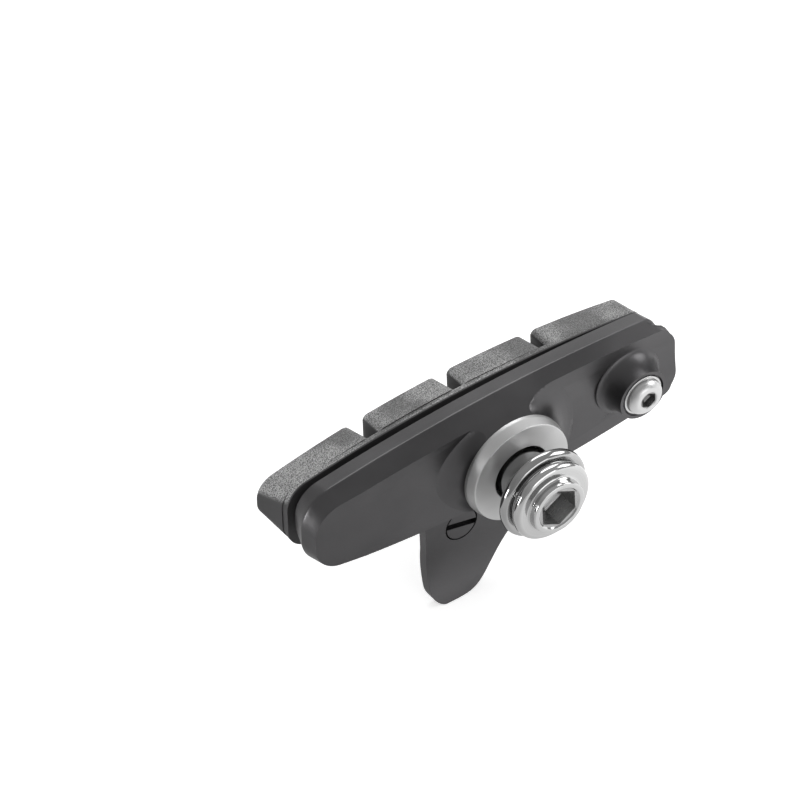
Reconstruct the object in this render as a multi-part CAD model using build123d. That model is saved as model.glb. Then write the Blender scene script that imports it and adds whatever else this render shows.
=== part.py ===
from build123d import *
import math
import os

# Bicycle rim brake pad: a cartridge shoe for a road calliper brake.
# Millimetres. X runs along the shoe, with the closed nose at -X and the open tail at +X.
# +Y points at the wheel rim and -Y at the brake arm. Z is up, with the wheel guide below.
# The origin is on the mounting bolt's axis, in the plane of the seat washer's outer face.

# Cutting tools run past the surfaces they open
OVERRUN = 1.0
CLEAR = 5.0
CUT_DEPTH = 60.0

# Pad insert: braking face and the four blocks
PAD_FACE_Y = 15.5            # braking face
PAD_FACE_TOP = 6.1           # top edge of the face at the middle of the shoe
PAD_FACE_BOTTOM = -2.9
PAD_NOSE_X = -29.6
PAD_TAIL_X = 26.2
PAD_TOP_ARCH = (-3.5, 137.0)     # crown's X and radius, seen from the side
PAD_BOTTOM_ARCH = (0.0, 1200.0)
PAD_NOSE_CORNER = 2.9
PAD_TAIL_CORNER = 1.2
BLOCK_BACK_Y = 11.5          # where the blocks leave the base flange
BLOCK_SLOPE_TOP = 0.85       # how much higher the block is at its back
BLOCK_SLOPE_BOTTOM = 2.1
BLOCK_SLOPE_NOSE = 1.0
BLOCK_CORNER_GROWTH = 0.6    # the nose corners are larger at the back
GROOVE_CENTRES = (-14.15, -1.03, 12.13)
GROOVE_WIDTHS = (2.0, 1.75, 1.35)  # at the braking face
GROOVE_DRAFT = 0.35          # each wall leans in by this towards the base
BLOCK_EDGE = 0.8             # rounded block corners on the tail side of each groove
GROOVE_CORNER = 1.1          # rounded block corners on the nose side of each groove
WEB_TOP_Z = 0.7              # the web that bridges the lower part of each groove
WEB_DEPTH = 0.8              # below the braking face

# Pad insert: base flange and the tongue that slides in the holder
FLANGE_LIP_Y = 10.5
FLANGE_ARCH = (-3.0, 165.0)
FLANGE_TOP = 7.0
FLANGE_BOTTOM = -5.6
FLANGE_BOTTOM_ARCH = (0.0, 600.0)
FLANGE_STEP_Y = 11.0
FLANGE_STEP = 0.22           # the flange is this much lower beside the blocks
FLANGE_NOSE_X = -28.45
FLANGE_TAIL_X = 26.3
FLANGE_NOSE_CORNER = 3.5
FLANGE_TAIL_CORNER = 1.5
TONGUE_CLEARANCE = 0.15
WEB_CORNER = 0.5
PAD_HOLE_CLEARANCE = 0.2     # round the pad screw, and half as much again at its end

# Holder: outlines from the rim side to the arm side
RIM_Y = 9.3                  # open edge of the channel
RIM_TOP = 7.5
RIM_BOTTOM = -5.95
RIDGE_Y = 6.5                # widest section
RIDGE_OVERHANG = 1.1         # ridge beyond the rim edge, top and bottom
HOLDER_NOSE_X = -29.2
RIM_NOSE_INSET = 1.1
RIM_TAIL_INSET = 0.5
HOLDER_TAIL_X = 26.5
HOLDER_TOP_ARCH = (0.0, 215.0)   # crown's X and radius, seen from the side
HOLDER_BOTTOM_ARCH = (3.0, 160.0)
HOLDER_NOSE_CORNER = 5.0
HOLDER_TAIL_CORNER = 2.1
RIDGE_ROUNDING = 0.45
BEVEL_TOP = 0.47             # inward lean per mm, from the ridge to the arm side
BEVEL_BOTTOM = 0.16
BEVEL_NOSE = 0.3
NOSE_PANEL_Y = 4.0           # the scooped panel between nose and boss
NOSE_PANEL_TILT = 0.2        # higher beside the boss than at its middle
NOSE_PANEL_FALL = 0.56       # it falls away over its last stretch, at the nose
NOSE_PANEL_LAST = 8.0        # length of that stretch
TAIL_PANEL_Y = 4.5           # the recessed panel between boss and tail
LOBE_TAIL_X = 27.3           # the panel ends in a lobe beyond the channel
LOBE_THICKNESS = 0.7
LOBE_CORNER = 3.6
LOBE_ROOT_CORNER = 1.4
DISH_DEPTH = 0.5             # both panels are hollowed by this
DISH_RADIUS = 38.0
DISH_MIDDLE_Z = 0.4
BOSS_FACE_Y = 1.9
BOSS_ROOT_GAP = 0.6          # the bosses run into the body to this short of the ridge
BOSS_RADIUS = 7.45
BOSS_FOOT_RADIUS = 11.3      # the flared foot of the boss on the panels
CHANNEL_DEPTH = 2.0
CHANNEL_WALL = 1.8
CHANNEL_UNDERCUT = 0.8
CHANNEL_NOSE_WALL = 1.0      # extra at the closed nose
CHANNEL_NOSE_CORNER = 2.2
CHANNEL_TAIL_CORNER = 0.8

# Pad screw and its boss on the tail panel
PAD_SCREW_X = 19.85
PAD_SCREW_Z = 0.6
PAD_SCREW_SHANK = 3.0
PAD_SCREW_HEAD = 5.7
PAD_SCREW_HEAD_HEIGHT = 1.7
PAD_SCREW_RIM = 0.45          # thickness of the head's thin rim
PAD_SCREW_CROWN = 1.45        # radius of the flat round the key socket
PAD_SCREW_STEP = 0.25         # the dome starts this far in from the rim's edge
PAD_SCREW_SHOULDER = 0.4      # how far below its top the dome is still nearly full width
PAD_SCREW_HEX_DEPTH = 1.0
PAD_SCREW_TIP_CHAMFER = 0.3
PAD_SCREW_HEX = 2.0
PAD_SCREW_LENGTH = 7.1
SCREW_BOSS_Y = 1.25
SCREW_BOSS_RADIUS = 3.55
SCREW_BOSS_FOOT_RADIUS = 4.9
SCREW_SINK_RADIUS = 3.1
SCREW_SINK_DEPTH = 0.45

# Mounting bolt and washers, all on the Y axis
BOLT_THREAD = 6.0
BOLT_HEX = 5.0
BOLT_HEX_DEPTH = 3.0
BOLT_RIM_RADIUS = 5.68
BOLT_RIM_THICKNESS = 1.35
BOLT_RIM_CHAMFER = 0.35
BOLT_COLLAR_RADIUS = 3.85
BOLT_COLLAR_HEIGHT = 1.25
BOLT_COLLAR_CHAMFER = 0.2
BOLT_COLLAR_FOOT = 0.5       # cone round the collar's foot
BOLT_TIP_CHAMFER = 0.5
BOLT_END_Y = 7.0
SEAT_WASHER_RADIUS = 7.2
SEAT_WASHER_BACK_RADIUS = 7.5
SEAT_WASHER_HOLE = 4.0
SEAT_WASHER_RIM = 0.5        # straight part of its rim, next to the holder
SEAT_WASHER_SINK = 0.12      # small countersink round the hole
HEAD_WASHER_RADIUS = 6.45
HEAD_WASHER_RIM_Y = -4.4     # middle of the rim
HEAD_WASHER_RIM = 1.5
HEAD_WASHER_SLEEVE = 3.55
HEAD_WASHER_INNER_Y = 1.1    # the sleeve reaches into the seat washer's hole
HEAD_WASHER_FLARE_Y = -0.9   # where the sleeve starts to widen
HEAD_WASHER_CHAMFER = 0.2    # at the end of the sleeve
HEAD_WASHER_EDGE = 0.4       # chamfers of its rim
HEAD_WASHER_GROOVE = 0.35    # depth of the seat for the bolt's rim
HEAD_WASHER_GROOVE_RADIUS = 5.2
FIT_CLEARANCE = 0.1

# Wheel guide and its slotted screw
GUIDE_HEEL_POINTS = ((1.0, -15.2), (-4.7, -18.9))    # the long edge passes through these
GUIDE_FACE_Y = 5.6           # arm side of its flat upper part
GUIDE_THICKNESS = 1.4
GUIDE_NOSE_X = -11.1
GUIDE_TIP_X = -11.9
GUIDE_TIP_Z = -19.4
GUIDE_TIP_CORNER = 1.8
GUIDE_HEEL_X = 10.5
GUIDE_HEEL_Z = -11.6
GUIDE_BEND_Z = -12.0         # below this it curves out, away from the rim
GUIDE_TIP_LEAN = 2.3         # how far the tip has moved out
GUIDE_BEND_EXTRA = 0.12      # radians of bent sheet below the tip, trimmed by the outline
GUIDE_TOP_GAP = 0.2
GUIDE_SCREW_X = -5.6
GUIDE_SCREW_Z = -10.1
GUIDE_SCREW_SHANK = 4.5
GUIDE_HOLE_CLEARANCE = 0.18
GUIDE_SCREW_HEAD = 5.2
GUIDE_SCREW_HEAD_HEIGHT = 1.5
GUIDE_SCREW_CHAMFER = 0.35
GUIDE_SLOT = 0.8
GUIDE_SLOT_DEPTH = 0.9
GUIDE_SLOT_ANGLE = -15.0
LUG_RADIUS = 3.2
LUG_THICKNESS = 1.5


def sag(radius, x):
    # how far an arc of this radius has dropped at x from its crown
    return radius - math.sqrt(radius * radius - x * x)


def drop(arch, x):
    # the same for an arch given by its crown's X and its radius
    return sag(arch[1], x - arch[0])


def plane_at(y):
    # a drawing plane across the shoe: local x is X, local y is Z, its normal points at -Y
    return Plane.XZ.offset(-y)


def boat_face(y, top, bottom, nose_x, tail_x, top_arch, bottom_arch, nose_corner, tail_corner):
    # side outline of the shoe: two shallow arches joined by rounded ends
    nose_top = (nose_x, top - drop(top_arch, nose_x))
    tail_top = (tail_x, top - drop(top_arch, tail_x))
    nose_bottom = (nose_x, bottom + drop(bottom_arch, nose_x))
    tail_bottom = (tail_x, bottom + drop(bottom_arch, tail_x))
    middle_x = (nose_x + tail_x) / 2
    middle_top = (middle_x, top - drop(top_arch, middle_x))
    middle_bottom = (middle_x, bottom + drop(bottom_arch, middle_x))
    with BuildSketch(plane_at(y)) as sketch:
        with BuildLine():
            ThreePointArc(nose_top, middle_top, tail_top)
            Line(tail_top, tail_bottom)
            ThreePointArc(tail_bottom, middle_bottom, nose_bottom)
            Line(nose_bottom, nose_top)
        make_face()
        corners = sketch.vertices().sort_by(Axis.X)
        fillet(corners[:2], nose_corner)
        corners = sketch.vertices().sort_by(Axis.X)
        fillet(corners[-2:], tail_corner)
    return sketch.sketch


def near(edge, y):
    # whether the middle of an edge lies at this Y
    return abs((edge @ 0.5).Y - y) < 0.001


def cylinder_y(radius, y_from, y_to, x=0.0, z=0.0):
    # a round bar along Y between two Y values
    with BuildPart() as bar:
        with BuildSketch(plane_at(y_from)):
            with Locations((x, z)):
                Circle(radius)
        extrude(amount=y_from - y_to)
    return bar.part


def flared_boss(radius, foot_radius, face_y, foot_y, end_y, x=0.0, z=0.0):
    # a round boss along Y whose wall sweeps out to a wide foot in a quarter ellipse
    with BuildPart() as boss:
        with BuildSketch(Plane.XY):
            with BuildLine():
                Line((0, face_y), (radius, face_y))
                EllipticalCenterArc(
                    (foot_radius, face_y), foot_radius - radius, foot_y - face_y,
                    start_angle=180, arc_size=-90,
                )
                Polyline((foot_radius, foot_y), (foot_radius, end_y), (0, end_y), (0, face_y))
            make_face()
        revolve(axis=Axis.Y)
    return Pos(x, 0, z) * boss.part


def ridge_face(y, inset_top, inset_bottom, inset_nose):
    # holder outline at or beyond the ridge, drawn in by the bevels
    return boat_face(
        y,
        RIM_TOP + RIDGE_OVERHANG - inset_top,
        RIM_BOTTOM - RIDGE_OVERHANG + inset_bottom,
        HOLDER_NOSE_X + inset_nose,
        HOLDER_TAIL_X,
        HOLDER_TOP_ARCH,
        HOLDER_BOTTOM_ARCH,
        HOLDER_NOSE_CORNER - (inset_top + inset_bottom) / 2,
        HOLDER_TAIL_CORNER - (inset_top + inset_bottom) / 2,
    )


def holder_hull():
    # the outer form before scoops and bosses: rim edge, ridge, then the bevelled arm side
    rim = boat_face(
        RIM_Y, RIM_TOP, RIM_BOTTOM, HOLDER_NOSE_X + RIM_NOSE_INSET,
        HOLDER_TAIL_X - RIM_TAIL_INSET,
        HOLDER_TOP_ARCH, HOLDER_BOTTOM_ARCH, HOLDER_NOSE_CORNER - RIDGE_OVERHANG,
        HOLDER_TAIL_CORNER - RIDGE_OVERHANG,
    )
    ridge = ridge_face(RIDGE_Y, 0, 0, 0)
    run = RIDGE_Y - BOSS_FACE_Y
    back = ridge_face(BOSS_FACE_Y, BEVEL_TOP * run, BEVEL_BOTTOM * run, BEVEL_NOSE * run)
    rim_band = loft([rim, ridge], ruled=True)
    arm_band = loft([ridge, back], ruled=True)
    hull = rim_band + arm_band
    return fillet([edge for edge in hull.edges() if near(edge, RIDGE_Y)], RIDGE_ROUNDING)


def lobe():
    # the rounded end of the tail panel, which reaches past the channel
    lean = RIDGE_Y - TAIL_PANEL_Y
    outline = boat_face(
        TAIL_PANEL_Y + LOBE_THICKNESS,
        RIM_TOP + RIDGE_OVERHANG - BEVEL_TOP * lean,
        RIM_BOTTOM - RIDGE_OVERHANG + BEVEL_BOTTOM * lean,
        PAD_SCREW_X, LOBE_TAIL_X, HOLDER_TOP_ARCH, HOLDER_BOTTOM_ARCH,
        LOBE_ROOT_CORNER, LOBE_CORNER,
    )
    return extrude(outline, amount=LOBE_THICKNESS)


def dish(side, panel_y, run):
    # a long shallow hollow along one panel, which fades out towards the shoe's end
    length = abs(run) + BOSS_RADIUS
    roller = Rot(0, 90, 0) * Cylinder(DISH_RADIUS, length)
    tilt = math.degrees(math.atan(DISH_DEPTH / length))
    middle = Pos(side * length / 2, panel_y + DISH_DEPTH / 2 - DISH_RADIUS, DISH_MIDDLE_Z)
    return middle * Rot(0, 0, -side * tilt) * roller


def scoop_cutter():
    # everything outside the two panels, drawn as seen from above
    beyond = BOSS_FACE_Y - CLEAR
    nose_end = HOLDER_NOSE_X - CLEAR
    tail_end = LOBE_TAIL_X + CLEAR
    with BuildPart() as cutter:
        with BuildSketch(Plane.XY.offset(-CUT_DEPTH / 2)):
            with BuildLine():
                Polyline(
                    (0, beyond),
                    (nose_end, beyond),
                    (nose_end, NOSE_PANEL_Y + NOSE_PANEL_FALL),
                    (HOLDER_NOSE_X + NOSE_PANEL_LAST, NOSE_PANEL_Y),
                    (0, NOSE_PANEL_Y - NOSE_PANEL_TILT),
                    (0, TAIL_PANEL_Y),
                    (tail_end, TAIL_PANEL_Y),
                    (tail_end, beyond),
                    close=True,
                )
            make_face()
        extrude(amount=CUT_DEPTH)
    nose_dish = dish(-1, NOSE_PANEL_Y, HOLDER_NOSE_X)
    tail_dish = dish(1, TAIL_PANEL_Y, LOBE_TAIL_X)
    return cutter.part + nose_dish + tail_dish


def channel_face(y, grow, clearance=0.0, tail_x=HOLDER_TAIL_X + CLEAR):
    # outline of the channel, or of the tongue with its clearance, at one depth
    wall = CHANNEL_WALL - grow + clearance
    return boat_face(
        y, RIM_TOP - wall, RIM_BOTTOM + wall, HOLDER_NOSE_X + CHANNEL_NOSE_WALL + wall, tail_x,
        HOLDER_TOP_ARCH, HOLDER_BOTTOM_ARCH, CHANNEL_NOSE_CORNER, CHANNEL_TAIL_CORNER,
    )


def channel_cutter():
    # undercut channel for the pad insert, open at the tail
    floor_y = RIM_Y - CHANNEL_DEPTH
    body = loft([channel_face(RIM_Y, 0), channel_face(floor_y, CHANNEL_UNDERCUT)], ruled=True)
    mouth = extrude(channel_face(RIM_Y, 0), amount=-OVERRUN)
    return body + mouth


def lug():
    # eye below the holder that carries the wheel guide
    front_y = GUIDE_FACE_Y + GUIDE_THICKNESS
    with BuildPart() as part:
        with BuildSketch(plane_at(front_y)):
            with Locations((GUIDE_SCREW_X, GUIDE_SCREW_Z)):
                Circle(LUG_RADIUS)
            with Locations((GUIDE_SCREW_X, GUIDE_SCREW_Z / 2 + RIM_BOTTOM / 2)):
                Rectangle(2 * LUG_RADIUS, RIM_BOTTOM - GUIDE_SCREW_Z)
        extrude(amount=-LUG_THICKNESS)
    return part.part


def make_holder():
    hull = holder_hull()
    foot_end = RIDGE_Y - BOSS_ROOT_GAP
    boss = flared_boss(BOSS_RADIUS, BOSS_FOOT_RADIUS, BOSS_FACE_Y, TAIL_PANEL_Y, foot_end) & hull
    screw_boss = flared_boss(
        SCREW_BOSS_RADIUS, SCREW_BOSS_FOOT_RADIUS, SCREW_BOSS_Y, TAIL_PANEL_Y, foot_end,
        PAD_SCREW_X, PAD_SCREW_Z,
    )
    panel_prism = extrude(ridge_face(RIDGE_Y, 0, 0, 0), amount=RIDGE_Y) + lobe()
    body = (hull + lobe() - scoop_cutter()) + boss + (screw_boss & panel_prism) + lug()
    floor_y = RIM_Y - CHANNEL_DEPTH
    body = body - channel_cutter()
    body = body - cylinder_y(BOLT_THREAD / 2 + FIT_CLEARANCE / 2, BOSS_FACE_Y - OVERRUN, floor_y + OVERRUN)
    body = body - cylinder_y(
        PAD_SCREW_SHANK / 2 + FIT_CLEARANCE / 2, SCREW_BOSS_Y - OVERRUN, floor_y + OVERRUN,
        PAD_SCREW_X, PAD_SCREW_Z,
    )
    body = body - cylinder_y(
        SCREW_SINK_RADIUS, SCREW_BOSS_Y - OVERRUN, SCREW_BOSS_Y + SCREW_SINK_DEPTH,
        PAD_SCREW_X, PAD_SCREW_Z,
    )
    lug_y = GUIDE_FACE_Y + GUIDE_THICKNESS
    body = body - cylinder_y(
        GUIDE_SCREW_SHANK / 2 + FIT_CLEARANCE / 2, lug_y - OVERRUN, lug_y + LUG_THICKNESS + OVERRUN,
        GUIDE_SCREW_X, GUIDE_SCREW_Z,
    )
    return body


def block_outline(y, number, lean, rise_top, rise_bottom):
    # side outline of one block at one depth; lean widens it towards the base
    last = len(GROOVE_CENTRES)
    depth = lean / GROOVE_DRAFT
    nose_x = PAD_NOSE_X + depth * BLOCK_SLOPE_NOSE
    tail_x = PAD_TAIL_X + lean
    if number > 0:
        nose_x = GROOVE_CENTRES[number - 1] + GROOVE_WIDTHS[number - 1] / 2 - lean
    if number < last:
        tail_x = GROOVE_CENTRES[number] - GROOVE_WIDTHS[number] / 2 + lean
    nose_corner = PAD_NOSE_CORNER + depth * BLOCK_CORNER_GROWTH if number == 0 else BLOCK_EDGE
    tail_corner = PAD_TAIL_CORNER if number == last else GROOVE_CORNER
    return boat_face(
        y, PAD_FACE_TOP + rise_top, PAD_FACE_BOTTOM - rise_bottom, nose_x, tail_x,
        PAD_TOP_ARCH, PAD_BOTTOM_ARCH, nose_corner, tail_corner,
    )


def flange_face(y, inset):
    # outline of the base flange
    return boat_face(
        y, FLANGE_TOP - inset, FLANGE_BOTTOM + inset, FLANGE_NOSE_X, FLANGE_TAIL_X,
        FLANGE_ARCH, FLANGE_BOTTOM_ARCH, FLANGE_NOSE_CORNER, FLANGE_TAIL_CORNER,
    )


def make_pad():
    lip = extrude(flange_face(FLANGE_LIP_Y, 0), amount=FLANGE_LIP_Y - FLANGE_STEP_Y)
    step = extrude(flange_face(FLANGE_STEP_Y, FLANGE_STEP), amount=FLANGE_STEP_Y - BLOCK_BACK_Y)
    pad = lip + step
    for number in range(len(GROOVE_CENTRES) + 1):
        back = block_outline(
            BLOCK_BACK_Y, number, GROOVE_DRAFT, BLOCK_SLOPE_TOP, BLOCK_SLOPE_BOTTOM
        )
        face = block_outline(PAD_FACE_Y, number, 0, 0, 0)
        pad = pad + loft([back, face], ruled=True)
    web = boat_face(
        BLOCK_BACK_Y, PAD_FACE_TOP, PAD_FACE_BOTTOM, PAD_NOSE_X + 2 * PAD_NOSE_CORNER,
        PAD_TAIL_X - 2 * PAD_TAIL_CORNER, PAD_TOP_ARCH, PAD_BOTTOM_ARCH, WEB_CORNER, WEB_CORNER,
    )
    web = extrude(web, amount=BLOCK_BACK_Y - (PAD_FACE_Y - WEB_DEPTH))
    upper = Pos(0, PAD_FACE_Y, WEB_TOP_Z + CUT_DEPTH / 2) * Box(2 * CUT_DEPTH, CUT_DEPTH, CUT_DEPTH)
    pad = pad + (web - upper)
    floor_y = RIM_Y - CHANNEL_DEPTH + TONGUE_CLEARANCE
    mouth = channel_face(RIM_Y, 0, TONGUE_CLEARANCE, FLANGE_TAIL_X)
    floor = channel_face(floor_y, CHANNEL_UNDERCUT, TONGUE_CLEARANCE, FLANGE_TAIL_X)
    tongue = loft([mouth, floor], ruled=True)
    neck = extrude(mouth, amount=RIM_Y - FLANGE_LIP_Y)
    pad = pad + tongue + neck
    hole_end = SCREW_BOSS_Y + SCREW_SINK_DEPTH + PAD_SCREW_LENGTH + 1.5 * PAD_HOLE_CLEARANCE
    return pad - cylinder_y(
        PAD_SCREW_SHANK / 2 + PAD_HOLE_CLEARANCE, floor_y - OVERRUN, hole_end,
        PAD_SCREW_X, PAD_SCREW_Z,
    )


def make_seat_washer():
    with BuildPart() as part:
        with BuildSketch(Plane.XY):
            with BuildLine():
                Polyline(
                    (SEAT_WASHER_HOLE, BOSS_FACE_Y),
                    (SEAT_WASHER_BACK_RADIUS, BOSS_FACE_Y),
                    (SEAT_WASHER_BACK_RADIUS, BOSS_FACE_Y - SEAT_WASHER_RIM),
                    (SEAT_WASHER_RADIUS, 0),
                    (SEAT_WASHER_HOLE + SEAT_WASHER_SINK, 0),
                    (SEAT_WASHER_HOLE, SEAT_WASHER_SINK),
                    close=True,
                )
            make_face()
        revolve(axis=Axis.Y)
    return part.part


def make_head_washer():
    back_y = HEAD_WASHER_RIM_Y + HEAD_WASHER_RIM / 2
    face_y = HEAD_WASHER_RIM_Y - HEAD_WASHER_RIM / 2
    bore = BOLT_THREAD / 2 + FIT_CLEARANCE / 2
    flat = HEAD_WASHER_RADIUS - HEAD_WASHER_EDGE
    sleeve = HEAD_WASHER_SLEEVE
    chamfer_y = HEAD_WASHER_INNER_Y - HEAD_WASHER_CHAMFER
    seat_y = face_y - HEAD_WASHER_GROOVE
    with BuildPart() as part:
        with BuildSketch(Plane.XY):
            with BuildLine():
                Polyline(
                    (bore, HEAD_WASHER_INNER_Y),
                    (sleeve - HEAD_WASHER_CHAMFER, HEAD_WASHER_INNER_Y),
                    (sleeve, chamfer_y),
                    (sleeve, HEAD_WASHER_FLARE_Y),
                )
                EllipticalCenterArc(
                    (flat, HEAD_WASHER_FLARE_Y), flat - sleeve,
                    HEAD_WASHER_FLARE_Y - back_y, start_angle=180, arc_size=90,
                )
                Polyline(
                    (flat, back_y),
                    (HEAD_WASHER_RADIUS, back_y - HEAD_WASHER_EDGE),
                    (HEAD_WASHER_RADIUS, face_y + HEAD_WASHER_EDGE),
                    (flat, face_y),
                    (HEAD_WASHER_GROOVE_RADIUS, face_y),
                    (HEAD_WASHER_GROOVE_RADIUS, seat_y),
                    (bore, seat_y),
                    (bore, HEAD_WASHER_INNER_Y),
                )
            make_face()
        revolve(axis=Axis.Y)
    return part.part


def hex_socket(across_flats, y_from, y_to, x=0.0, z=0.0):
    # six-sided key socket along Y
    with BuildPart() as part:
        with BuildSketch(plane_at(y_from)):
            with Locations((x, z)):
                RegularPolygon(across_flats / 2, 6, major_radius=False)
        extrude(amount=y_from - y_to)
    return part.part


def make_bolt():
    under_y = HEAD_WASHER_RIM_Y - HEAD_WASHER_RIM / 2 - HEAD_WASHER_GROOVE
    rim_end = under_y - BOLT_RIM_THICKNESS
    top_y = rim_end - BOLT_COLLAR_HEIGHT
    shank = BOLT_THREAD / 2
    collar = BOLT_COLLAR_RADIUS
    flat = BOLT_RIM_RADIUS - BOLT_RIM_CHAMFER
    with BuildPart() as part:
        with BuildSketch(Plane.XY):
            with BuildLine():
                Polyline(
                    (0, BOLT_END_Y),
                    (shank - BOLT_TIP_CHAMFER, BOLT_END_Y),
                    (shank, BOLT_END_Y - BOLT_TIP_CHAMFER),
                    (shank, under_y),
                    (flat, under_y),
                    (BOLT_RIM_RADIUS, under_y - BOLT_RIM_CHAMFER),
                    (BOLT_RIM_RADIUS, rim_end + BOLT_RIM_CHAMFER),
                    (flat, rim_end),
                    (collar + BOLT_COLLAR_FOOT, rim_end),
                    (collar, rim_end - BOLT_COLLAR_FOOT),
                    (collar, top_y + BOLT_COLLAR_CHAMFER),
                    (collar - BOLT_COLLAR_CHAMFER, top_y),
                    (0, top_y),
                    close=True,
                )
            make_face()
        revolve(axis=Axis.Y)
    return part.part - hex_socket(BOLT_HEX, top_y - OVERRUN, top_y + BOLT_HEX_DEPTH)


def make_pad_screw():
    under_y = SCREW_BOSS_Y + SCREW_SINK_DEPTH
    rim_y = under_y - PAD_SCREW_RIM
    top_y = under_y - PAD_SCREW_HEAD_HEIGHT
    end_y = under_y + PAD_SCREW_LENGTH
    head = PAD_SCREW_HEAD / 2
    dome = head - PAD_SCREW_STEP
    shank = PAD_SCREW_SHANK / 2
    with BuildPart() as part:
        with BuildSketch(Plane.XY):
            with BuildLine():
                Polyline(
                    (0, end_y),
                    (shank - PAD_SCREW_TIP_CHAMFER, end_y),
                    (shank, end_y - PAD_SCREW_TIP_CHAMFER),
                    (shank, under_y),
                    (head, under_y),
                    (head, rim_y),
                    (dome, rim_y),
                )
                ThreePointArc(
                    (dome, rim_y),
                    (dome - PAD_SCREW_STEP, top_y + PAD_SCREW_SHOULDER),
                    (PAD_SCREW_CROWN, top_y),
                )
                Polyline((PAD_SCREW_CROWN, top_y), (0, top_y), (0, end_y))
            make_face()
        revolve(axis=Axis.Y)
    screw = Pos(PAD_SCREW_X, 0, PAD_SCREW_Z) * part.part
    return screw - hex_socket(
        PAD_SCREW_HEX, top_y - OVERRUN, top_y + PAD_SCREW_HEX_DEPTH, PAD_SCREW_X, PAD_SCREW_Z
    )


def guide_outline():
    # side outline of the guide: straight nose edge, round tip, long rising heel
    top = RIM_BOTTOM - RIDGE_OVERHANG - GUIDE_TOP_GAP
    nose_top = (GUIDE_NOSE_X, top + drop(HOLDER_BOTTOM_ARCH, GUIDE_NOSE_X))
    heel_top = (GUIDE_HEEL_X, top + drop(HOLDER_BOTTOM_ARCH, GUIDE_HEEL_X))
    heel = (GUIDE_HEEL_X, GUIDE_HEEL_Z)
    tip = (GUIDE_TIP_X, GUIDE_TIP_Z)
    with BuildSketch(plane_at(RIM_Y)) as sketch:
        with BuildLine():
            ThreePointArc(nose_top, (0, top), heel_top)
            Line(heel_top, heel)
            Spline(heel, *GUIDE_HEEL_POINTS, tip, tangents=((-1, -0.15), (-1, 0)))
            Line(tip, (GUIDE_NOSE_X, GUIDE_BEND_Z))
            Line((GUIDE_NOSE_X, GUIDE_BEND_Z), nose_top)
        make_face()
        fillet(sketch.vertices().sort_by(Axis.Y)[0], GUIDE_TIP_CORNER)
    return sketch.sketch


def guide_slab():
    # the bent sheet that the outline is cut from
    run = GUIDE_BEND_Z - GUIDE_TIP_Z
    radius = (run * run + GUIDE_TIP_LEAN * GUIDE_TIP_LEAN) / (2 * GUIDE_TIP_LEAN)
    bend = math.asin(run / radius) + GUIDE_BEND_EXTRA
    back_y = GUIDE_FACE_Y + GUIDE_THICKNESS
    centre_y = back_y - radius

    def on_arc(arc_radius, share):
        angle = share * bend
        return (centre_y + arc_radius * math.cos(angle), GUIDE_BEND_Z - arc_radius * math.sin(angle))

    outer = radius
    inner = radius - GUIDE_THICKNESS
    with BuildPart() as part:
        with BuildSketch(Plane.YZ.offset(GUIDE_TIP_X - GUIDE_THICKNESS)):
            with BuildLine():
                ThreePointArc(on_arc(outer, 0), on_arc(outer, 0.5), on_arc(outer, 1))
                Line(on_arc(outer, 1), on_arc(inner, 1))
                ThreePointArc(on_arc(inner, 1), on_arc(inner, 0.5), on_arc(inner, 0))
                Polyline(
                    on_arc(inner, 0), (GUIDE_FACE_Y, RIM_BOTTOM), (back_y, RIM_BOTTOM),
                    on_arc(outer, 0),
                )
            make_face()
        extrude(amount=GUIDE_HEEL_X - GUIDE_TIP_X + 2 * GUIDE_THICKNESS)
    return part.part


def make_guide():
    blank = extrude(guide_outline(), amount=CUT_DEPTH / 2)
    guide = blank & guide_slab()
    hole = cylinder_y(
        GUIDE_SCREW_SHANK / 2 + GUIDE_HOLE_CLEARANCE, GUIDE_FACE_Y - OVERRUN,
        GUIDE_FACE_Y + GUIDE_THICKNESS + OVERRUN, GUIDE_SCREW_X, GUIDE_SCREW_Z,
    )
    return guide - hole


def slot_cutter(y_from, y_to, angle):
    # driver slot across the guide screw
    slot = Box(3 * GUIDE_SCREW_HEAD, y_to - y_from, GUIDE_SLOT)
    place = Pos(GUIDE_SCREW_X, (y_from + y_to) / 2, GUIDE_SCREW_Z)
    return place * Rot(0, -angle, 0) * slot


def make_guide_screw():
    head_y = GUIDE_FACE_Y + GUIDE_THICKNESS + LUG_THICKNESS
    top_y = head_y + GUIDE_SCREW_HEAD_HEIGHT
    head = cylinder_y(GUIDE_SCREW_HEAD / 2, head_y, top_y, GUIDE_SCREW_X, GUIDE_SCREW_Z)
    head = chamfer(head.edges().sort_by(Axis.Y)[-1], GUIDE_SCREW_CHAMFER)
    shank = cylinder_y(
        GUIDE_SCREW_SHANK / 2, GUIDE_FACE_Y, head_y, GUIDE_SCREW_X, GUIDE_SCREW_Z
    )
    screw = head + shank
    screw = screw - slot_cutter(top_y - GUIDE_SLOT_DEPTH, top_y + OVERRUN, GUIDE_SLOT_ANGLE)
    return screw - slot_cutter(GUIDE_FACE_Y - OVERRUN, GUIDE_FACE_Y + GUIDE_SLOT_DEPTH, GUIDE_SLOT_ANGLE)


pieces = {
    "shoe_holder": make_holder(),
    "brake_pad": make_pad(),
    "mounting_bolt": make_bolt(),
    "head_washer": make_head_washer(),
    "seat_washer": make_seat_washer(),
    "pad_screw": make_pad_screw(),
    "wheel_guide": make_guide(),
    "guide_screw": make_guide_screw(),
}

os.makedirs("parts", exist_ok=True)
for name, solid in pieces.items():
    export_step(solid, "parts/" + name + ".step")
    print(name, round(solid.volume, 1))
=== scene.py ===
import bpy, bmesh, math
from mathutils import Matrix, Vector


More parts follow.
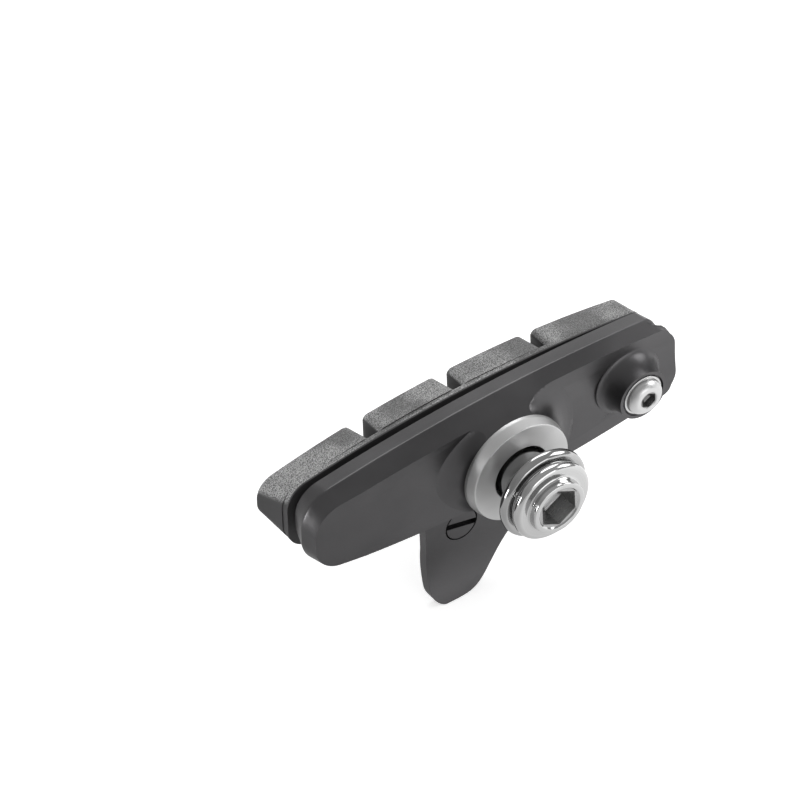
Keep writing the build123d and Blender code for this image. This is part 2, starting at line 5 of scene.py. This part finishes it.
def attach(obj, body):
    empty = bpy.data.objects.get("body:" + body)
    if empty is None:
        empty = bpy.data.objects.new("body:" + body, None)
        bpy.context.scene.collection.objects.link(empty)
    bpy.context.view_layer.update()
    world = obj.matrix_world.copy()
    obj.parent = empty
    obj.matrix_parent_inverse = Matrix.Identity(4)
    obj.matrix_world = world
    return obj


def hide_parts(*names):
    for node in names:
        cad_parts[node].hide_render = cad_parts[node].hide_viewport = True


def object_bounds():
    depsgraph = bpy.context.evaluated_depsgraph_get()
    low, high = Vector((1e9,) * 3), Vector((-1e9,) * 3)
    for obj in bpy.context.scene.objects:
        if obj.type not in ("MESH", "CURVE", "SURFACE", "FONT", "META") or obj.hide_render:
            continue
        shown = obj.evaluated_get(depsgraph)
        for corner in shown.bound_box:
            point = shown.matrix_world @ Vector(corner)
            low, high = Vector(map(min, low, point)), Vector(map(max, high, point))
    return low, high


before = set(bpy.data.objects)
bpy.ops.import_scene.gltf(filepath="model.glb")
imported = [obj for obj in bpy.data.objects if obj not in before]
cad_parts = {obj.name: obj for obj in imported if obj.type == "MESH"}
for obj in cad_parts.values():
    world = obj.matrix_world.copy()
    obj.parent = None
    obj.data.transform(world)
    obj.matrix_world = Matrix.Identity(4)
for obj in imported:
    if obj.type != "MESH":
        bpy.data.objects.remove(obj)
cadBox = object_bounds()
mm = 0.001  # the model is in metres
print("frame loaded:", len(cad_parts), "nodes")


# shader writing

class Wire:  # one shader value, so that sums can be written as sums
    def __init__(self, maker, socket):
        self.maker, self.socket = maker, socket

    def math(self, operation, a, b):
        return self.maker.node("ShaderNodeMath", {"operation": operation}, {0: a, 1: b})

    def __add__(self, other):
        return self.math("ADD", self, other)

    __radd__ = __add__

    def __sub__(self, other):
        return self.math("SUBTRACT", self, other)

    def __rsub__(self, other):
        return self.math("SUBTRACT", other, self)

    def __mul__(self, other):
        return self.math("MULTIPLY", self, other)

    __rmul__ = __mul__

    def __pow__(self, other):
        return self.math("POWER", self, other)


class Nodes:  # writes the nodes of one tree
    def __init__(self, tree):
        self.tree = tree

    def node(self, kind, settings=None, sockets=None, out=0):
        made = self.tree.nodes.new(kind)
        for key, value in (settings or {}).items():
            if key == "stops":
                while len(made.color_ramp.elements) < len(value):
                    made.color_ramp.elements.new(0.5)
                for element, (position, level) in zip(made.color_ramp.elements, value):
                    element.position = position
                    element.color = grey(level)
            else:
                setattr(made, key, value)
        for key, value in (sockets or {}).items():
            self.feed(made.inputs[key], value)
        return Wire(self, made.outputs[out])

    def feed(self, socket, value):
        if isinstance(value, Wire):
            self.tree.links.new(value.socket, socket)
        else:
            socket.default_value = value

    def ramp(self, value, *stops):
        return self.node("ShaderNodeValToRGB", {"stops": stops}, {"Fac": value})

    def between(self, value, low=0.3, high=0.7, start=0.0, end=1.0):  # noise mostly lies from 0.3 to 0.7
        return self.node("ShaderNodeMapRange", {"interpolation_type": "SMOOTHSTEP"}, {
            "Value": value, "From Min": low, "From Max": high, "To Min": start, "To Max": end})

    def mix(self, share, a, b):  # inputs 6 and 7 and output 2 are the colours of a Mix node
        return self.node("ShaderNodeMix", {"data_type": "RGBA"}, {0: share, 6: a, 7: b}, out=2)

    def split(self, vector):
        parts = self.tree.nodes.new("ShaderNodeSeparateXYZ")
        self.feed(parts.inputs[0], vector)
        return [Wire(self, parts.outputs[i]) for i in range(3)]


class Finish(Nodes):  # a material and the nodes in it
    def __init__(self, name, **constants):
        self.material = bpy.data.materials.new(name)
        self.material.use_nodes = True
        super().__init__(self.material.node_tree)
        self.shader = self.tree.nodes["Principled BSDF"]
        self.set(**constants)
        self.place = self.node("ShaderNodeTexCoord", out="Object")

    def set(self, **values):
        for socket, value in values.items():
            self.feed(self.shader.inputs[socket.replace("_", " ")], value)

    def stretch(self, x, y, z):
        return self.node("ShaderNodeMapping", None, {"Vector": self.place, "Scale": (x, y, z)})

    def noise(self, scale, detail=2.0, rough=0.5, where=None):
        return self.node("ShaderNodeTexNoise", None, {
            "Vector": where or self.place, "Scale": scale, "Detail": detail, "Roughness": rough})

    def bump(self, height, depth, strength=1.0):
        self.set(Normal=self.node("ShaderNodeBump", None, {
            "Height": height, "Distance": depth, "Strength": strength}))


def grey(level, warm=0.0):
    return (level * (1 + warm), level, level * (1 + 1.5 * warm), 1)


# shape building: profiles are (radius, y, corner rounding) in millimetres

def softened(profile, steps=4):  # the profile with its corners rounded
    points = []
    for index, (radius, y, soft) in enumerate(profile):
        here = Vector((radius, y))
        if soft == 0:
            points.append(here)
            continue
        before = Vector(profile[index - 1][:2]) - here
        after = Vector(profile[(index + 1) % len(profile)][:2]) - here
        start = here + before.normalized() * min(soft, before.length / 2)
        end = here + after.normalized() * min(soft, after.length / 2)
        for step in range(steps + 1):
            t = step / steps
            points.append(start * (1 - t) ** 2 + here * (2 * t * (1 - t)) + end * t * t)
    return points


def turned(profile, centre=(0, 0), closed=False, steps=144, merge=0.0002):  # spun round a line along Y
    bm = bmesh.new()
    x, z = centre[0] * mm, centre[1] * mm
    points = softened(profile)
    verts = [bm.verts.new((x + point[0] * mm, point[1] * mm, z)) for point in points]
    pairs = list(zip(verts, verts[1:]))
    if closed:
        pairs.append((verts[-1], verts[0]))
    edges = [bm.edges.new(pair) for pair in pairs]
    bmesh.ops.spin(bm, geom=verts + edges, cent=(x, 0, z), axis=(0, 1, 0), angle=2 * math.pi,
                   steps=steps, use_merge=True)
    bmesh.ops.remove_doubles(bm, verts=bm.verts, dist=merge * mm)
    return bm


def grown(bm, edges):  # grows faces off open edges, and gives their new verts and open edges
    made = bmesh.ops.extrude_edge_only(bm, edges=edges)["geom"]
    verts = [item for item in made if isinstance(item, bmesh.types.BMVert)]
    return verts, [item for item in made if isinstance(item, bmesh.types.BMEdge) and item.is_boundary]


def keySocket(bm, centre, across, depth):  # six walls and a drilled cone, from the open edge inwards
    outside = set(bm.faces)
    middle = Vector((centre[0] * mm, 0, centre[1] * mm))
    verts, edges = grown(bm, [edge for edge in bm.edges if edge.is_boundary])
    for vert in verts:  # the round edge is drawn onto a hexagon
        arm = Vector((vert.co.x - middle.x, 0, vert.co.z - middle.z))
        turn = math.atan2(arm.x, arm.z) % (math.pi / 3) - math.pi / 6
        vert.co += arm.normalized() * (across / 2 * mm / math.cos(turn)) - arm
    verts, edges = grown(bm, edges)
    bmesh.ops.translate(bm, verts=verts, vec=(0, depth * mm, 0))
    tipY = verts[0].co.y + across / 4 * mm
    verts, edges = grown(bm, edges)
    bmesh.ops.pointmerge(bm, verts=verts, merge_co=(middle.x, tipY, middle.z))
    for face in bm.faces:
        if face not in outside:
            face.material_index = 1


def finished(name, bm, finish, nodeName, crisp=38, inner=None):  # in place of a CAD node
    bmesh.ops.recalc_face_normals(bm, faces=bm.faces)
    mesh = bpy.data.meshes.new(name)
    bm.to_mesh(mesh)
    bm.free()
    mesh.shade_smooth()
    mesh.set_sharp_from_angle(angle=math.radians(crisp))
    mesh.materials.append(finish.material)
    if inner:
        mesh.materials.append(inner.material)
    piece = bpy.data.objects.new(name, mesh)
    bpy.context.scene.collection.objects.link(piece)
    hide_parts(nodeName)
    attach(piece, "root")
    even = piece.modifiers.new("evenShading", "WEIGHTED_NORMAL")  # large faces lead, so flat ones look flat
    even.keep_sharp = True
    even.mode = "FACE_AREA_WITH_ANGLE"
    return piece


def castFrom(nodeName, merge=0.0005):  # a merged copy of a CAD node, its flat faces made whole
    bm = bmesh.new()
    bm.from_mesh(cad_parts[nodeName].data)
    bmesh.ops.remove_doubles(bm, verts=bm.verts, dist=merge * mm)
    bmesh.ops.dissolve_limit(bm, angle_limit=math.radians(0.4), verts=bm.verts, edges=bm.edges)
    return bm


def rounded(bm, edges, width, segments):
    bmesh.ops.bevel(bm, geom=edges, offset=width * mm, affect="EDGES", segments=segments,
                    profile=0.5, clamp_overlap=True, material=-1)


def soften(bm, width, angle=35, segments=2):  # rounds every edge sharper than the angle
    sharp = [edge for edge in bm.edges
             if edge.is_manifold and edge.calc_face_angle(0) > math.radians(angle)]
    rounded(bm, sharp, width, segments)


# finishes: scales are in noise cells per metre

holderLook = {"dark": 0.078, "light": 0.096, "warm": 0.02, "roughness": 0.36,
              "cloud": 90, "grain": 7000, "grainDepth": 0.006 * mm}


def satinHolder(name, look):  # the guide and its screw have it too
    f = Finish(name, Metallic=0.85, Specular_IOR_Level=0.5)
    cloud = f.noise(look["cloud"], 3)
    grain = f.noise(look["grain"], 2)
    dark, light = grey(look["dark"], look["warm"]), grey(look["light"], look["warm"])
    f.set(Base_Color=f.mix(f.between(cloud), dark, light),
          Roughness=f.between(grain * 0.6 + cloud * 0.4,
                              start=look["roughness"] - 0.05, end=look["roughness"] + 0.06))
    f.bump(grain, look["grainDepth"], 0.6)
    return f


# speckDark and speckLight are the two tones of the painted light on upward faces, both far lighter than the
# body
rubberLook = {"lipY": 10.65, "lipBlend": 0.15, "body": 0.045, "warm": 0.02, "speckDark": 0.1,
              "speckLight": 0.52, "streak": 0.065, "roughness": 0.62, "glint": 0.22,
              "speckScale": 6800, "patchScale": 150, "streakScale": (3800, 3800, 420),
              "cloudScale": 120, "pitScale": 2500, "reliefDepth": 0.02 * mm}


def mouldedRubber(name, look):  # speckled tops beyond the lip, made lighter by painted light, a streaked braking face, plain sides
    f = Finish(name, Specular_IOR_Level=0.4)
    normal = f.split(f.node("ShaderNodeNewGeometry", out="Normal"))
    y = f.split(f.place)[1]
    beyondLip = f.between(y, look["lipY"] * mm, (look["lipY"] + look["lipBlend"]) * mm)
    # painted light: faces turned upwards beyond the lip get a much lighter tone than the body, standing in
    # for the sheen on the block tops; the speckle in it is random texture
    paintedTopLight = f.between(normal[2], 0.25, 0.6) * beyondLip
    face = f.between(normal[1], 0.7, 0.95)
    speck = f.between(f.noise(look["speckScale"], 3, 0.7), 0.4, 0.64)
    patch = f.between(f.noise(look["patchScale"], 1), 0.4, 0.6, 0.35, 1.3)
    streak = f.between(f.noise(1, 4, 0.6, f.stretch(*look["streakScale"])), 0.35, 0.7)
    cloud = f.between(f.noise(look["cloudScale"], 3))
    body = f.mix(cloud, grey(look["body"] * 0.85, look["warm"]), grey(look["body"] * 1.1, look["warm"]))
    # painted light mixed with random speckle: the lighter tone that upward faces get
    speckAndPaintedTopLight = f.mix(speck * patch, grey(look["speckDark"]), grey(look["speckLight"]))
    faceTone = f.mix(streak, grey(look["body"], look["warm"]), grey(look["streak"], look["warm"]))
    f.set(Base_Color=f.mix(paintedTopLight, f.mix(face, body, faceTone), speckAndPaintedTopLight),
          Roughness=look["roughness"] - look["glint"] * speck * paintedTopLight)
    pits = f.noise(look["pitScale"], 2)
    f.bump(speck * paintedTopLight + streak * face * 0.5 + pits * 0.4, look["reliefDepth"], 0.7)
    return f


def turnedMetal(name, tone, roughness, rings=5000, ringDepth=0.001 * mm, centre=(0, 0)):  # lathe rings
    f = Finish(name, Metallic=1.0)
    x, y, z = f.split(f.place)
    dx, dz = x - centre[0], z - centre[1]
    radius = (dx * dx + dz * dz) ** 0.5
    line = f.node("ShaderNodeCombineXYZ", None, {0: radius * rings, 1: y * rings})
    ring = f.noise(1, 3, 0.6, line)
    smudge = f.noise(200, 3)
    f.set(Base_Color=f.mix(ring, grey(tone * 0.9), grey(tone * 1.06)),
          Roughness=f.between(ring * 0.5 + smudge * 0.5, start=roughness * 0.8, end=roughness * 1.25))
    f.bump(ring, ringDepth, 0.5)
    return f


def socketMetal(name, tone):  # forged walls of a key socket, less polished than the head
    f = Finish(name, Metallic=0.85)
    marks = f.noise(1, 3, 0.6, f.stretch(900, 6000, 900))
    f.set(Base_Color=f.mix(marks, grey(tone * 0.75), grey(tone * 1.2)),
          Roughness=f.between(marks, start=0.24, end=0.4))
    f.bump(marks, 0.01 * mm, 0.6)
    return f


# pieces: sizes are in millimetres, and crisp is the angle in degrees past which an edge shades sharp

holderSize = {"steadyX": 22.0, "cadEndX": 26.5, "ridgeEndX": 25.6, "lobeBackY": 5.25, "blendY": 0.35,
              "shoulder": 0.5, "merge": 0.01, "crisp": 21}


def shortenRidge(bm, size):  # rim and ridge stop short of the lobe
    share = (size["cadEndX"] - size["ridgeEndX"]) / (size["cadEndX"] - size["steadyX"])
    for vert in bm.verts:
        x, y, z = vert.co / mm
        if x > size["steadyX"] and y > size["lobeBackY"]:
            amount = min(1, (y - size["lobeBackY"]) / size["blendY"])
            vert.co.x -= (x - size["steadyX"]) * share * amount * mm


def roundShoulder(bm, width):  # softens the edge between the flat panel and the shoulder round it
    edges = []
    for edge in bm.edges:
        if edge.is_manifold and edge.calc_face_angle(0) > math.radians(14):
            panel, shoulder = sorted(face.normal.y for face in edge.link_faces)
            if panel < -0.985 and -0.97 < shoulder < -0.25:
                edges.append(edge)
    rounded(bm, edges, width, 4)


def makeHolder(size):
    bm = castFrom("shoe_holder", size["merge"])
    shortenRidge(bm, size)
    roundShoulder(bm, size["shoulder"])
    finish = satinHolder("holderSatin", holderLook)
    return finished("holderCasting", bm, finish, "shoe_holder", size["crisp"])


padSize = {"edge": 0.18, "crisp": 32}


def makePad(size):
    bm = castFrom("brake_pad")
    soften(bm, size["edge"])
    finish = mouldedRubber("padRubber", rubberLook)
    return finished("rubberInsert", bm, finish, "brake_pad", size["crisp"])


boltSize = {"tipY": 7.0, "shank": 3.0, "chamfer": 0.5, "underY": -5.5, "rim": 5.68, "rimThick": 1.35,
            "collar": 3.85, "collarTall": 1.25, "key": 5.0, "keyDeep": 3.0, "mouth": 3.15,
            "mouthIn": 0.2, "mouthY": 0.22, "tone": 0.55, "roughness": 0.12, "socketTone": 0.42}


def makeBolt(size):  # shank, flange, raised collar and key socket, drawn from the tip
    rimY = size["underY"] - size["rimThick"]
    topY = rimY - size["collarTall"]
    bm = turned([
        (0, size["tipY"], 0), (size["shank"] - size["chamfer"], size["tipY"], 0.1),
        (size["shank"], size["tipY"] - size["chamfer"], 0.1),
        (size["shank"], size["underY"], 0.1), (size["rim"] - 0.2, size["underY"], 0.2),
        (size["rim"], size["underY"] - 0.45, 0.4), (size["rim"], rimY + 0.35, 0.4),
        (size["rim"] - 0.4, rimY, 0.25), (size["collar"], rimY, 0.4),
        (size["collar"], topY, 0.2), (size["mouth"], topY, 0.06),
        (size["mouth"] - size["mouthIn"], topY + size["mouthY"], 0)])
    keySocket(bm, (0, 0), size["key"], size["keyDeep"])
    finish = turnedMetal("boltPlate", size["tone"], size["roughness"])
    return finished("flangedBolt", bm, finish, "mounting_bolt",
                    inner=socketMetal("boltSocket", size["socketTone"]))


headWasherSize = {"bore": 3.05, "sleeve": 3.55, "innerY": 1.1, "flareY": -0.9, "backY": -3.65,
                  "faceY": -5.15, "outer": 6.45, "edge": 0.4, "seat": 5.2, "seatDeep": 0.35,
                  "flareSteps": 12, "tone": 0.42, "roughness": 0.12}


def makeHeadWasher(size):  # a sleeve that flares in a quarter ellipse to the wide face
    flat = size["outer"] - size["edge"]
    wide, tall = flat - size["sleeve"], size["flareY"] - size["backY"]
    turns = [math.pi / 2 * step / size["flareSteps"] for step in range(1, size["flareSteps"])]
    flare = [(flat - wide * math.cos(turn), size["flareY"] - tall * math.sin(turn), 0) for turn in turns]
    bm = turned([
        (size["bore"], size["innerY"], 0.05), (size["sleeve"], size["innerY"], 0.15),
        (size["sleeve"], size["flareY"], 0)]
        + flare + [
        (flat, size["backY"], 0.15), (size["outer"], size["backY"] - size["edge"], 0.35),
        (size["outer"], size["faceY"] + size["edge"], 0.35), (flat, size["faceY"], 0.2),
        (size["seat"], size["faceY"], 0.06), (size["seat"], size["faceY"] - size["seatDeep"], 0.05),
        (size["bore"], size["faceY"] - size["seatDeep"], 0.05)], closed=True)
    finish = turnedMetal("headWasherPlate", size["tone"], size["roughness"])
    return finished("flaredWasher", bm, finish, "head_washer")


seatWasherSize = {"hole": 4.0, "back": 7.5, "front": 7.2, "backY": 1.9, "edgeY": 1.4,
                  "tone": 0.58, "roughness": 0.5, "rings": 9000}


def makeSeatWasher(size):  # its front face lies at Y 0, where the brake arm bears
    bm = turned([
        (size["hole"], size["backY"], 0.05), (size["back"], size["backY"], 0.1),
        (size["back"], size["edgeY"], 0.12),
        (size["front"], 0, 0.14), (size["hole"], 0, 0.1)], closed=True)
    finish = turnedMetal("washerSatin", size["tone"], size["roughness"], size["rings"])
    return finished("facedWasher", bm, finish, "seat_washer")


padScrewSize = {"centre": (19.85, 0.6), "endY": 8.8, "shank": 1.5, "chamfer": 0.3, "underY": 1.7,
                "head": 2.85, "rimY": 1.25, "dome": 2.6, "topY": 0.0, "crown": 1.5, "key": 2.0,
                "keyDeep": 1.0, "mouth": 1.3, "mouthIn": 0.12, "mouthY": 0.1,
                "tone": 0.6, "roughness": 0.38, "socketTone": 0.25}


def makePadScrew(size):  # shank, rim, domed head and key socket, drawn from the end
    bm = turned([
        (0, size["endY"], 0), (size["shank"] - size["chamfer"], size["endY"], 0.1),
        (size["shank"], size["endY"] - size["chamfer"], 0.1), (size["shank"], size["underY"], 0.05),
        (size["head"], size["underY"], 0.1), (size["head"], size["rimY"], 0.12),
        (size["dome"], size["rimY"], 0.05), (size["dome"] - 0.08, size["topY"] + 0.6, 0.5),
        (size["crown"] + 0.35, size["topY"] + 0.02, 0.6), (size["mouth"], size["topY"], 0.05),
        (size["mouth"] - size["mouthIn"], size["topY"] + size["mouthY"], 0)], size["centre"])
    keySocket(bm, size["centre"], size["key"], size["keyDeep"])
    middle = [value * mm for value in size["centre"]]
    finish = turnedMetal("screwPlate", size["tone"], size["roughness"], centre=middle)
    return finished("buttonScrew", bm, finish, "pad_screw",
                    inner=socketMetal("screwSocket", size["socketTone"]))


guideLook = dict(holderLook, dark=0.072, light=0.09, roughness=0.4)
guideSize = {"edge": 0.22, "segments": 3, "crisp": 30}


def makeGuide(size):
    bm = castFrom("wheel_guide")
    soften(bm, size["edge"], segments=size["segments"])
    finish = satinHolder("guideSatin", guideLook)
    return finished("curvedGuide", bm, finish, "wheel_guide", size["crisp"])


guideScrewSize = {"edge": 0.12, "crisp": 30}


def makeGuideScrew(size):
    bm = castFrom("guide_screw")
    soften(bm, size["edge"])
    finish = satinHolder("guideScrewSatin", guideLook)
    return finished("slottedScrew", bm, finish, "guide_screw", size["crisp"])


makeHolder(holderSize)
makePad(padSize)
makeBolt(boltSize)
makeHeadWasher(headWasherSize)
makeSeatWasher(seatWasherSize)
makePadScrew(padScrewSize)
makeGuide(guideSize)
makeGuideScrew(guideScrewSize)
print("pieces done")


# stage, light and camera: azimuth is in degrees round from -Y towards +X, elevation in degrees up

def towards(azimuth, elevation):
    turn, rise = math.radians(azimuth), math.radians(elevation)
    return Vector((math.sin(turn) * math.cos(rise), -math.cos(turn) * math.cos(rise), math.sin(rise)))


# glow is the floor's own light, and mirrorKept is the share of it that metal shows on the nose side, a
# painted shade that darkens the floor there for glossy rays only
stageSize = {"floor": 1.6, "floorHeight": cadBox[0].z, "floorTone": 0.9, "glow": 0.55,
             "mirrorKept": 0.58, "dimX": -0.03, "fullX": 0.035}

bm = bmesh.new()
bmesh.ops.create_grid(bm, x_segments=1, y_segments=1, size=stageSize["floor"])
floorMesh = bpy.data.meshes.new("floor")
bm.to_mesh(floorMesh)
bm.free()
floorMesh.transform(Matrix.Translation((0, 0, stageSize["floorHeight"])))
floor = bpy.data.objects.new("floor", floorMesh)
bpy.context.scene.collection.objects.link(floor)

paper = Finish("paper", Roughness=0.9, Specular_IOR_Level=0.0, Emission_Strength=stageSize["glow"])
seenRay = paper.node("ShaderNodeLightPath", out="Is Camera Ray")
mirrorRay = paper.node("ShaderNodeLightPath", out="Is Glossy Ray")
floorX = paper.split(paper.place)[0]
# painted reflection shade: towards -X the floor turns darker for glossy rays only, so metal on the nose
# side mirrors a darker floor
paintedNoseShade = paper.between(floorX, stageSize["dimX"], stageSize["fullX"], 1 - stageSize["mirrorKept"], 0)
dim = mirrorRay * paintedNoseShade
paper.set(Base_Color=paper.mix(dim, grey(stageSize["floorTone"]), grey(0)),
          Emission_Color=seenRay + mirrorRay * (1 - dim))
floorMesh.materials.append(paper.material)

skyLook = {"horizon": 0.4, "middle": 0.4, "zenith": 0.46, "dimSide": 0.32, "dimX": -0.95, "fullX": -0.45}
world = bpy.data.worlds.new("studio")
world.use_nodes = True
bpy.context.scene.world = world
air = Nodes(world.node_tree)
airX, _, airZ = air.split(air.node("ShaderNodeTexCoord", out="Generated"))
sky = air.ramp(airZ, (0, skyLook["horizon"]), (0.5, skyLook["middle"]), (1, skyLook["zenith"]))
sky = air.mix(air.between(airX, skyLook["dimX"], skyLook["fullX"]), grey(skyLook["dimSide"]), sky)
seenRay = air.node("ShaderNodeLightPath", out="Is Camera Ray")
sky = air.mix(seenRay, sky, grey(1))  # the camera sees it white
air.feed(air.tree.nodes["Background"].inputs["Color"], sky)

lamps = [  # name, azimuth, elevation, distance, width, height, watts
    ("keyLamp", 75, 28, 0.45, 0.3, 0.22, 0.8),
    ("backLamp", 150, 38, 0.5, 0.3, 0.26, 0.75),
    ("frontLamp", 10, 12, 0.55, 0.4, 0.2, 0.5),
    ("sideLamp", -106, 6, 0.4, 0.07, 0.12, 0.6),
]
for name, azimuth, elevation, distance, width, height, watts in lamps:
    light = bpy.data.lights.new(name, "AREA")
    light.shape = "RECTANGLE"
    light.size = width
    light.size_y = height
    light.energy = watts
    direction = towards(azimuth, elevation)
    lamp = bpy.data.objects.new(name, light)
    lamp.location = direction * distance
    lamp.rotation_euler = direction.to_track_quat("Z", "Y").to_euler()
    bpy.context.scene.collection.objects.link(lamp)

shot = {"azimuth": -34.1, "elevation": 44.6, "roll": 2.6, "pixelsPerMm": 8.0,
        "originAt": (521.6, 472.6), "picture": 800, "lens": 900}
back = towards(shot["azimuth"], shot["elevation"])
level = towards(shot["azimuth"] + 90, 0)
rise = back.cross(level)
roll = math.radians(shot["roll"])
right = level * math.cos(roll) - rise * math.sin(roll)
up = level * math.sin(roll) + rise * math.cos(roll)
pixel = mm / shot["pixelsPerMm"]
middle = shot["picture"] / 2
aim = right * (middle - shot["originAt"][0]) * pixel + up * (shot["originAt"][1] - middle) * pixel
cameraData = bpy.data.cameras.new("camera")
cameraData.lens = shot["lens"]
away = shot["picture"] * pixel * shot["lens"] / cameraData.sensor_width
camera = bpy.data.objects.new("camera", cameraData)
turn = Matrix((right, up, back)).transposed().to_4x4()
camera.matrix_world = Matrix.Translation(aim + back * away) @ turn
bpy.context.scene.collection.objects.link(camera)
bpy.context.scene.camera = camera
bpy.context.scene.view_settings.view_transform = "Standard"
print("stage, light and camera done")
